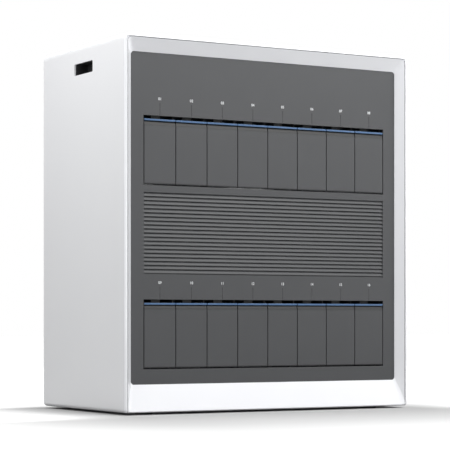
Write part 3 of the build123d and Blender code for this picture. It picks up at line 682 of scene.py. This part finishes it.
def screwMesh():
    # rings from the tip of the shank up over the head and down into the recess
    size = screwSizes
    count = size["segments"]
    plainRings = [([radius] * count, height) for radius, height in size["shankProfile"] + size["headProfile"]]
    arm = len(size["crossReach"])
    reach = [size["crossReach"][(step + 1) % arm] for step in range(count)]
    plainRings.append((reach, size["crossTop"]))
    plainRings.append(([radius * size["crossTaper"] for radius in reach], size["crossFloor"]))
    shell = bmesh.new()
    rings = []
    for radii, height in plainRings:
        ring = []
        for step, radius in enumerate(radii):
            angle = math.tau * step / count
            ring.append(shell.verts.new((radius * math.cos(angle), radius * math.sin(angle), height)))
        rings.append(ring)
    for ring, following in zip(rings, rings[1:]):
        for step in range(count):
            after = (step + 1) % count
            shell.faces.new((ring[step], ring[after], following[after], following[step]))
    for ring, height in ((rings[0], plainRings[0][1]), (rings[-1], size["crossPoint"])):
        middle = shell.verts.new((0, 0, height))
        for step in range(count):
            shell.faces.new((ring[step], ring[(step + 1) % count], middle))
    mesh = shellMesh("crossScrew", shell)
    mesh.transform(facingBack @ Matrix.Scale(millimetre, 4))
    return mesh


def screwRule(start, size):
    # two rows of seats up each edge of the panels, each screw left at its own turn
    upward = [start.node("CombineXYZ", {}, {"Z": size[label]}) for label in ("lowStep", "highStep")]
    lines = []
    for step, count, place in zip(upward, ("lowCount", "highCount"), ("lowPlace", "highPlace")):
        row = {"Count": size[count], "Start Location": size[place], "Offset": step}
        lines.append(start.node("GeometryNodeMeshLine", {"mode": "OFFSET"}, row))
    column = start.node("GeometryNodeJoinGeometry", {}, {"Geometry": lines})
    across = start.node("CombineXYZ", {}, {"X": size["spread"]})
    edges = start.node("GeometryNodeMeshLine", {"mode": "OFFSET"}, {"Count": 2, "Offset": across})
    columns = start.node("GeometryNodeInstanceOnPoints", {}, {"Points": edges, "Instance": column})
    seats = start.node("GeometryNodeRealizeInstances", {}, {"Geometry": columns})
    limits = {2: 0.0, 3: quarterTurn, "Seed": size["seed"]}
    twist = start.node("FunctionNodeRandomValue", {"data_type": "FLOAT"}, limits, 1)
    turn = start.node("CombineXYZ", {}, {"Y": twist})
    rotation = start.node("FunctionNodeEulerToRotation", {}, {0: turn})
    screw = start.node("GeometryNodeObjectInfo", {}, {"Object": size["screw"]}, 4)
    setting = {"Points": seats, "Instance": screw, "Rotation": rotation}
    return start.node("GeometryNodeInstanceOnPoints", {}, setting)


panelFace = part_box("rear_panel")[1][1]
crossScrew = screwMesh()
screwModel = bpy.data.objects.new("screwModel", crossScrew)
bpy.context.scene.collection.objects.link(screwModel)
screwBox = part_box("rear_screws")
headRadius = screwSizes["headProfile"][0][0] * millimetre
edge = screwBox[1][0] - headRadius
lowest = screwBox[0][2] + headRadius
highest = screwBox[1][2] - headRadius
rearScrewMesh = grownMesh("rearScrews", {
    "screw": screwModel,
    "seed": screwSizes["seed"],
    "spread": 2 * edge,
    "lowCount": screwSizes["lowCount"],
    "lowStep": screwSizes["lowStep"],
    "lowPlace": (-edge, panelFace, lowest),
    "highCount": screwSizes["highCount"],
    "highStep": (highest - screwSizes["overSeam"]) / (screwSizes["highCount"] - 1),
    "highPlace": (-edge, panelFace, screwSizes["overSeam"]),
}, screwRule, finishes["plated_steel"])
rearScrews = addMesh("rearScrews", rearScrewMesh, "cabinet", finishes["plated_steel"], smoothUnder=40)
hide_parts("rear_screws")
bpy.data.objects.remove(screwModel)
print("rear screws driven")


# Exhaust fans: wire guards outside the panel, and a seven-bladed rotor in each
guardSizes = {
    "rings": 4,
    "ringFirst": 0.016,
    "ringStep": 0.012,
    "ringPoints": 72,
    "wireRadius": 0.00065,
    "wirePoints": 8,
    "spokes": 2,
    "spokeHalf": 0.0712,
    "ringLift": 0.00082,
    "spokeLift": 0.00066,
    "ears": 4,
    "earPlace": 0.07425,
    "earRadius": 0.0034,
    "earPoints": 20,
}
fanSizes = {
    "places": {"left_fan": -0.135, "right_fan": 0.135},
    "height": 0.315,
    "screwSpread": 0.0525,
    "rotorBack": 0.1425,
}


def guardRule(start, size):
    # rings, crossed spokes and corner loops as lines, then one round wire along all of them
    def instances(points, shape, **extra):
        return start.node("GeometryNodeInstanceOnPoints", {}, {"Points": points, "Instance": shape, **extra})

    def pile(count, lift):
        place = start.node("CombineXYZ", {}, {"Z": lift})
        stack = {"Count": count, "Start Location": place, "Offset": (0, 0, 0)}
        return start.node("GeometryNodeMeshLine", {"mode": "OFFSET"}, stack)

    def circle(points, radius):
        return start.node("GeometryNodeCurvePrimitiveCircle", {}, {"Resolution": points, "Radius": radius})

    index = start.node("GeometryNodeInputIndex")
    radius = size["ringFirst"] + index * size["ringStep"]
    grown = start.node("CombineXYZ", {}, {"X": radius, "Y": radius, "Z": 1.0})
    rings = instances(pile(size["rings"], size["ringLift"]), circle(size["ringPoints"], 1.0), Scale=grown)
    ends = [start.node("CombineXYZ", {}, {"X": size["spokeHalf"] * sign}) for sign in (-1.0, 1.0)]
    spoke = start.node("GeometryNodeCurvePrimitiveLine", {}, {"Start": ends[0], "End": ends[1]})
    lean = start.node("CombineXYZ", {}, {"Z": index * quarterTurn + quarterTurn / 2})
    turn = start.node("FunctionNodeEulerToRotation", {}, {0: lean})
    spokes = instances(pile(size["spokes"], size["spokeLift"]), spoke, Rotation=turn)
    corners = start.node("GeometryNodeMeshCircle", {}, {"Vertices": size["ears"], "Radius": size["earPlace"]})
    stand = start.node("CombineXYZ", {}, {"Z": size["spokeLift"]})
    quarter = {"Geometry": corners, "Translation": stand, "Rotation": (0, 0, quarterTurn / 2)}
    seats = start.node("GeometryNodeTransform", {}, quarter)
    ears = instances(seats, circle(size["earPoints"], size["earRadius"]))
    lines = start.node("GeometryNodeJoinGeometry", {}, {"Geometry": [rings, spokes, ears]})
    real = start.node("GeometryNodeRealizeInstances", {}, {"Geometry": lines})
    wire = circle(size["wirePoints"], size["wireRadius"])
    sweep = {"Curve": real, "Profile Curve": wire, "Fill Caps": True}
    return start.node("GeometryNodeCurveToMesh", {}, sweep)


guard = grownMesh("fanGuard", guardSizes, guardRule, finishes["bright_wire"])
placed = []
for x in fanSizes["places"].values():
    placed.append((guard, Matrix.Translation((x, panelFace, fanSizes["height"])) @ facingBack))
    for across in (-1, 1):
        for up in (-1, 1):
            corner = (
                x + across * fanSizes["screwSpread"],
                panelFace,
                fanSizes["height"] + up * fanSizes["screwSpread"],
            )
            placed.append((crossScrew, Matrix.Translation(corner)))
guardMesh = joinMeshes("fanGuards", placed)
fanGuards = addMesh("fanGuards", guardMesh, "cabinet", finishes["bright_wire"], smoothUnder=50)
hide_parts("fan_guards")

rotorSizes = {
    "blades": 7,
    "chord": 0.019,
    "wall": 0.0016,
    "root": 0.0165,
    "tip": 0.055,
    "middle": 0.0085,
    "rootPitch": 0.55,
    "tipPitch": 0.9,
    "camber": 0.0024,
    "sweep": 0.3,
    "rootWidth": 0.82,
    "widening": 0.4,
    "fullness": 1.15,
    "thinning": 0.7,
    "chordPoints": 10,
    "spanPoints": 9,
}
hubSegments = 48
hubProfile = (
    (2.05, 0.0), (19.0, 0.0), (19.5, 0.5), (19.5, 15.2), (19.2, 16.2), (18.4, 16.9), (17.6, 17.0),
    (16.6, 17.0), (16.2, 16.6), (7.4, 16.6), (7.0, 17.0), (3.0, 17.0), (2.05, 16.8),
)


def bladeRule(start, size):
    # a fine block bent into a cambered, swept blade wrapped round the axis, then one for each turn
    span = size["tip"] - size["root"]
    block = start.node("CombineXYZ", {}, {"X": size["chord"], "Y": size["wall"], "Z": span})
    grid = {"Vertices X": size["chordPoints"], "Vertices Y": 2, "Vertices Z": size["spanPoints"]}
    blank = start.node("GeometryNodeMeshCube", {}, {"Size": block, **grid})
    place = start.node("GeometryNodeInputPosition")
    along, wall, outward = (place.axis(index) for index in range(3))
    share = outward / span + 0.5
    chordShare = along / (size["chord"] * 0.5)
    edgeward = chordShare * chordShare
    width = along * (share * size["widening"] + size["rootWidth"])
    lift = wall * (size["fullness"] - edgeward * size["thinning"]) + (1.0 - edgeward) * size["camber"]
    pitch = size["rootPitch"] + share * (size["tipPitch"] - size["rootPitch"])
    cosine, sine = pitch.calc("COSINE", pitch), pitch.calc("SINE", pitch)
    radius = size["root"] + share * span
    angle = (width * sine + lift * cosine) / radius + share * share * size["sweep"]
    bent = start.node("CombineXYZ", {}, {
        "X": radius * angle.calc("COSINE", angle),
        "Y": radius * angle.calc("SINE", angle),
        "Z": size["middle"] + width * cosine - lift * sine,
    })
    blade = start.node("GeometryNodeSetPosition", {}, {"Geometry": blank, "Position": bent})
    pile = {"Count": size["blades"], "Offset": (0, 0, 0)}
    seats = start.node("GeometryNodeMeshLine", {"mode": "OFFSET"}, pile)
    step = start.node("GeometryNodeInputIndex") * math.tau / size["blades"]
    turn = start.node("FunctionNodeEulerToRotation", {}, {0: start.node("CombineXYZ", {}, {"Z": step})})
    ring = {"Points": seats, "Instance": blade, "Rotation": turn}
    return start.node("GeometryNodeInstanceOnPoints", {}, ring)


blades = grownMesh("fanBlades", rotorSizes, bladeRule, finishes["fan_plastic"])
hubOutline = [(radius * millimetre, height * millimetre) for radius, height in hubProfile]
hub = turnedMesh("fanHub", hubOutline, hubSegments)
for body, node in (("left_fan", "fan_rotor_left"), ("right_fan", "fan_rotor_right")):
    place = (fanSizes["places"][body], fanSizes["rotorBack"], fanSizes["height"])
    where = Matrix.Translation(place) @ facingBack
    rotorMesh = joinMeshes(body + "Rotor", [(hub, where), (blades, where)])
    rotor = addMesh(body + "Rotor", rotorMesh, body, finishes["fan_plastic"], smoothUnder=40)
    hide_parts(node)
print("fans built")


# Contacts in the network jack, and the on and off marks of the rocker switch
jackSizes = {
    "contacts": 8,
    "pitch": 0.00102,
    "wireRadius": 0.00021,
    "wirePoints": 6,
    "springPoints": 7,
    "springRoot": (0.0, 0.1652, 0.06555),
    "springBend": (0.0, 0.1584, 0.06545),
    "springTip": (0.0, 0.1536, 0.0625),
}
jackMiddle = 0.12
markSizes = {
    "letterHeight": 0.0042,
    "inkWall": 0.00006,
    "bold": 0.00006,
    "across": 0.215,
    "marks": {"O": ((0.16426, 0.0691), 0.0), "I": ((0.1653, 0.07756), math.radians(-14))},
}


def contactRule(start, size):
    # bent spring wires side by side under the jack's roof
    bend = {
        "Resolution": size["springPoints"],
        "Start": size["springRoot"],
        "Middle": size["springBend"],
        "End": size["springTip"],
    }
    spring = start.node("GeometryNodeCurveQuadraticBezier", {}, bend)
    section = {"Resolution": size["wirePoints"], "Radius": size["wireRadius"]}
    wire = start.node("GeometryNodeCurvePrimitiveCircle", {}, section)
    sweep = {"Curve": spring, "Profile Curve": wire, "Fill Caps": True}
    contact = start.node("GeometryNodeCurveToMesh", {}, sweep)
    step = start.node("CombineXYZ", {}, {"X": size["pitch"]})
    row = {"Count": size["contacts"], "Start Location": size["place"], "Offset": step}
    seats = start.node("GeometryNodeMeshLine", {"mode": "OFFSET"}, row)
    return start.node("GeometryNodeInstanceOnPoints", {}, {"Points": seats, "Instance": contact})


contactMesh = grownMesh("jackContacts", {
    **jackSizes,
    "place": (jackMiddle - jackSizes["pitch"] * (jackSizes["contacts"] - 1) / 2, 0.0, 0.0),
}, contactRule, goldMaterial)
jackContacts = addMesh("jackContacts", contactMesh, "cabinet", goldMaterial, smoothUnder=60)

readFromBack = Matrix.Rotation(math.pi, 4, "Z") @ upright
marks = []
for mark, (place, lean) in markSizes["marks"].items():
    where = Matrix.Translation((markSizes["across"], *place)) @ Matrix.Rotation(lean, 4, "X") @ readFromBack
    marks.append((textMesh(mark, markSizes), where))
switchMarks = addMesh("switchMarks", joinMeshes("switchMarks", marks), "rocker", inkMaterial)
print("connector details added")


# Floor, lights, world and camera
stageSizes = {
    "floorHalf": 14.0,
    "floorTone": 0.55,
    "floorRough": 0.9,
    "footprint": (0.299, 0.1665),
    # the floor's glow by distance from the cabinet: a painted shadow near it
    "lift": ((0.0, 0.0), (0.04, 0.01), (0.12, 0.11), (0.2, 0.21), (0.3, 0.4), (0.6, 0.72), (1.0, 1.0)),
    "liftReach": 1.6,
    "besideFaster": 5.0,
    "besideInFront": 1.6,
    "frontReach": 0.12,
    "behindFaster": 12.0,
    "floorOther": 0.2,
    "worldOther": 0.08,
}


def sightRays(tree):
    # 1 for rays from the camera, in reflections and through glass
    lightPath = tree.nodes.new("ShaderNodeLightPath")
    labels = ("Is Camera Ray", "Is Glossy Ray", "Is Transmission Ray")
    rays = [Field(tree, lightPath.outputs[label]) for label in labels]
    return rays[0].calc("MINIMUM", rays[0] + rays[1] + rays[2], 1.0)


def makeFloor():
    half = stageSizes["floorHalf"]
    mesh = bpy.data.meshes.new("studioFloor")
    corners = [(-half, -half, 0), (half, -half, 0), (half, half, 0), (-half, half, 0)]
    mesh.from_pydata(corners, [], [(0, 1, 2, 3)])
    material = bpy.data.materials.new("studioFloor")
    material.use_nodes = True
    tree = material.node_tree
    shader = tree.nodes["Principled BSDF"]
    shader.inputs["Roughness"].default_value = stageSizes["floorRough"]
    shader.inputs["Specular IOR Level"].default_value = 0.0
    seen = sightRays(tree)
    place = Field(tree, tree.nodes.new("ShaderNodeTexCoord").outputs["Object"])
    # distances past the cabinet's footprint, to the sides, in front and behind, for a painted shadow round
    # the cabinet
    wide, deep = stageSizes["footprint"]
    beside = place.calc("MAXIMUM", place.axis(0).size() - wide, 0.0)
    ahead = place.calc("MAXIMUM", -1.0 * place.axis(1) - deep, 0.0)
    behind = place.calc("MAXIMUM", place.axis(1) - deep, 0.0)
    inFront = ahead.soft(0.0, stageSizes["frontReach"])
    slowing = inFront.between(stageSizes["besideFaster"], stageSizes["besideInFront"])
    across = beside * slowing + behind * stageSizes["behindFaster"]
    away = across.calc("SQRT", across * across + ahead * ahead) / stageSizes["liftReach"]
    # painted shadow: the floor glows less near the cabinet, on top of its real shadow
    lift = away.node("ValToRGB", {"stops": stageSizes["lift"]}, {0: away})
    other, tone = stageSizes["floorOther"], stageSizes["floorTone"]
    tree.links.new(seen.tint((other, other, other), (tone, tone, tone)).socket, shader.inputs["Base Color"])
    shader.inputs["Emission Color"].default_value = (1, 1, 1, 1)
    tree.links.new((seen * lift).socket, shader.inputs["Emission Strength"])
    mesh.materials.append(material)
    floor = bpy.data.objects.new("studioFloor", mesh)
    bpy.context.scene.collection.objects.link(floor)


makeFloor()

world = bpy.data.worlds.new("studio")
bpy.context.scene.world = world
world.use_nodes = True
background = world.node_tree.nodes["Background"]
background.inputs["Color"].default_value = (1, 1, 1, 1)
strength = sightRays(world.node_tree).between(stageSizes["worldOther"], 1.0)
world.node_tree.links.new(strength.socket, background.inputs["Strength"])

lamps = {
    "frontLow": {"place": (-0.45, -2.4, 0.3), "aim": (0.1, 0.0, 0.35), "size": 0.7, "power": 15.0},
    "frontTop": {"place": (0.65, -1.3, 1.6), "aim": (0.2, 0.0, 0.4), "size": 1.2, "power": 28.0},
    "rightFrontHigh": {"place": (2.6, -1.2, 1.8), "aim": (0.1, 0.0, 0.4), "size": 1.2, "power": 8.5},
    "frontRight": {"place": (2.4, -2.1, 0.9), "aim": (0.2, 0.0, 0.4), "size": 0.8, "power": 12.5},
    "leftWide": {"place": (-2.4, -0.4, 0.8), "aim": (-0.3, 0.0, 0.35), "size": 1.5, "power": 16.0},
    "leftNear": {"place": (-0.8, -0.1, 1.2), "aim": (-0.3, 0.0, 0.5), "size": 0.8, "power": 6.7},
    "backWide": {"place": (0.7, 2.6, 1.1), "aim": (0.0, 0.0, 0.35), "size": 1.6, "power": 20.0},
    "rightWide": {"place": (2.4, 0.5, 0.9), "aim": (0.3, 0.0, 0.35), "size": 1.5, "power": 14.0},
}
for lampName, lamp in lamps.items():
    data = bpy.data.lights.new(lampName, "AREA")
    data.size = lamp["size"]
    data.energy = lamp["power"]
    holder = bpy.data.objects.new(lampName, data)
    holder.location = lamp["place"]
    sight = Vector(lamp["aim"]) - Vector(lamp["place"])
    holder.rotation_euler = sight.to_track_quat("-Z", "Y").to_euler()
    holder.visible_camera = False
    bpy.context.scene.collection.objects.link(holder)

cameraSizes = {
    "sensor": 36.0,
    "lens": 149.35,
    "place": (-1.76821, -3.03297, 0.16460),
    "yaw": -30.21,
    "shift": 0.2117,
}
cameraData = bpy.data.cameras.new("photoCamera")
cameraData.sensor_width = cameraSizes["sensor"]
cameraData.lens = cameraSizes["lens"]
cameraData.shift_y = cameraSizes["shift"]
camera = bpy.data.objects.new("photoCamera", cameraData)
camera.location = cameraSizes["place"]
camera.rotation_euler = (math.radians(90), 0, math.radians(cameraSizes["yaw"]))
bpy.context.scene.collection.objects.link(camera)
bpy.context.scene.camera = camera
bpy.context.scene.view_settings.view_transform = "Standard"
print("stage set")
